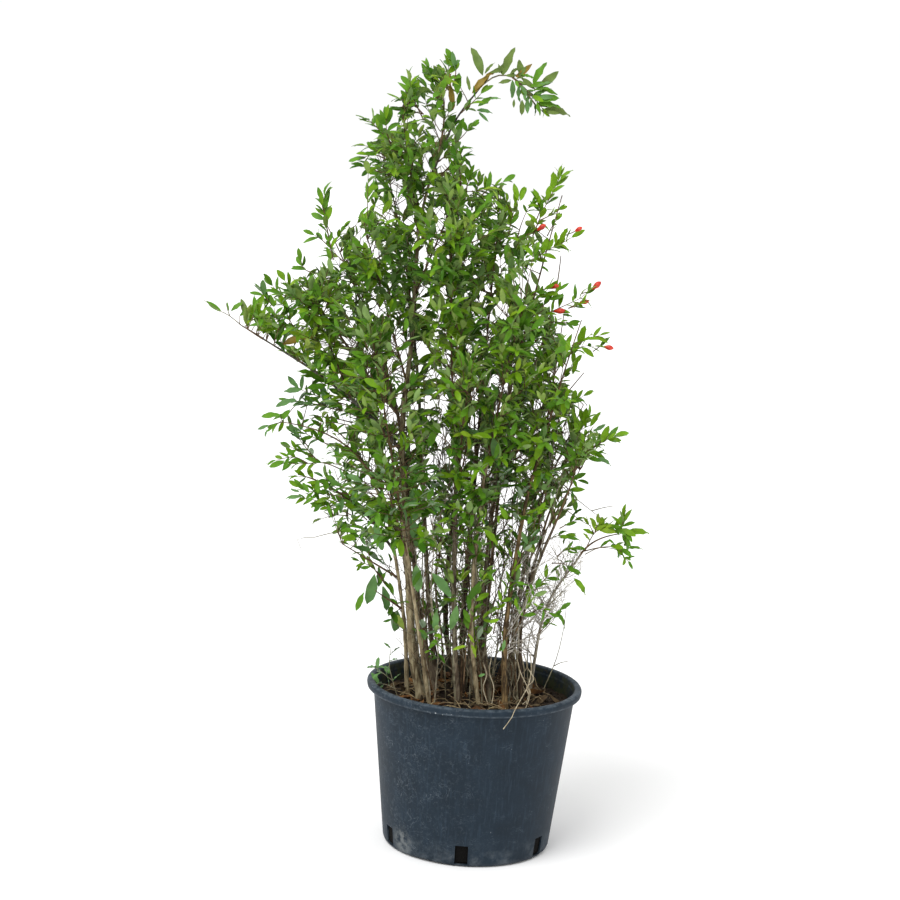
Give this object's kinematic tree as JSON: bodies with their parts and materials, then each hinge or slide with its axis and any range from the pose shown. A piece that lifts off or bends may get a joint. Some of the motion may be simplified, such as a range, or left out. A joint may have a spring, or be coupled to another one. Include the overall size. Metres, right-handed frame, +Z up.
{
  "type": "potted pomegranate tree",
  "caption": "Many-stemmed young pomegranate tree with small glossy leaves and red flower buds, growing in a tall round nursery pot with drainage slots.",
  "frame": {"origin": "middle of the pot's flat underside, on the surface that the pot stands on", "axes": "+Z up the plant, from the pot's underside to its top shoot; +X to the right and +Y away, seen from the front, where the long bough leans out to the left at -X"},
  "size_m": [0.8233, 0.5122, 1.4789],
  "materials": {
    "pot_plastic": "injection-moulded blue-grey black polypropylene, matte and scuffed",
    "potting_mix": "dark crumbly potting mix with dead leaves and dry litter",
    "bark": "thin grey-brown bark, rough, some stems redder or darker",
    "foliage": "small glossy mid-green leaves, fresher at the tips",
    "dead_twigs": "bare dry grey twigs",
    "leaf_fresh": "young yellow-green leaves, glossy",
    "leaf_bronze": "bronze and yellowing leaves",
    "flower_bud": "waxy orange-red buds"
  },
  "bodies": {
    "root": {"bough_arch": "bark", "bough_left_long": "bark", "bough_left_low": "bark", "bough_left_upper": "bark", "bough_right_low": "bark", "bough_right_upper": "bark", "dead_twigs_right": "dead_twigs", "foliage_arch": "foliage", "foliage_back": "foliage", "foliage_back_left": "foliage", "foliage_back_left_top": "foliage", "foliage_back_low": "foliage", "foliage_back_right": "foliage", "foliage_back_right_low": "foliage", "foliage_back_top": "foliage", "foliage_centre": "foliage", "foliage_crown_top": "foliage", "foliage_far_right": "foliage", "foliage_front_left": "foliage", "foliage_front_low": "foliage", "foliage_front_middle": "foliage", "foliage_front_right": "foliage", "foliage_front_top": "foliage", "foliage_left_bottom": "foliage", "foliage_left_far": "foliage", "foliage_left_hanging": "foliage", "foliage_left_low": "foliage", "foliage_left_middle": "foliage", "foliage_left_out": "foliage", "foliage_left_spire": "foliage", "foliage_left_upper": "foliage", "foliage_right_arm": "foliage", "foliage_right_lobe": "foliage", "foliage_right_low": "foliage", "foliage_right_middle": "foliage", "foliage_right_shoulder": "foliage", "foliage_right_spire": "foliage", "foliage_right_top": "foliage", "foliage_right_upper": "foliage", "foliage_top_left": "foliage", "foliage_upper_left": "foliage", "foliage_upper_middle": "foliage", "pot": "pot_plastic", "soil": "potting_mix", "stem_back": "bark", "stem_back_dark": "bark", "stem_back_left": "bark", "stem_back_left_top": "bark", "stem_back_right": "bark", "stem_centre": "bark", "stem_centre_front": "bark", "stem_dark_right": "bark", "stem_far_right": "bark", "stem_front": "bark", "stem_left": "bark", "stem_left_front": "bark", "stem_left_spire": "bark", "stem_main": "bark", "stem_orange": "bark", "stem_right_spire": "bark"}
  },
  "joints": []
}
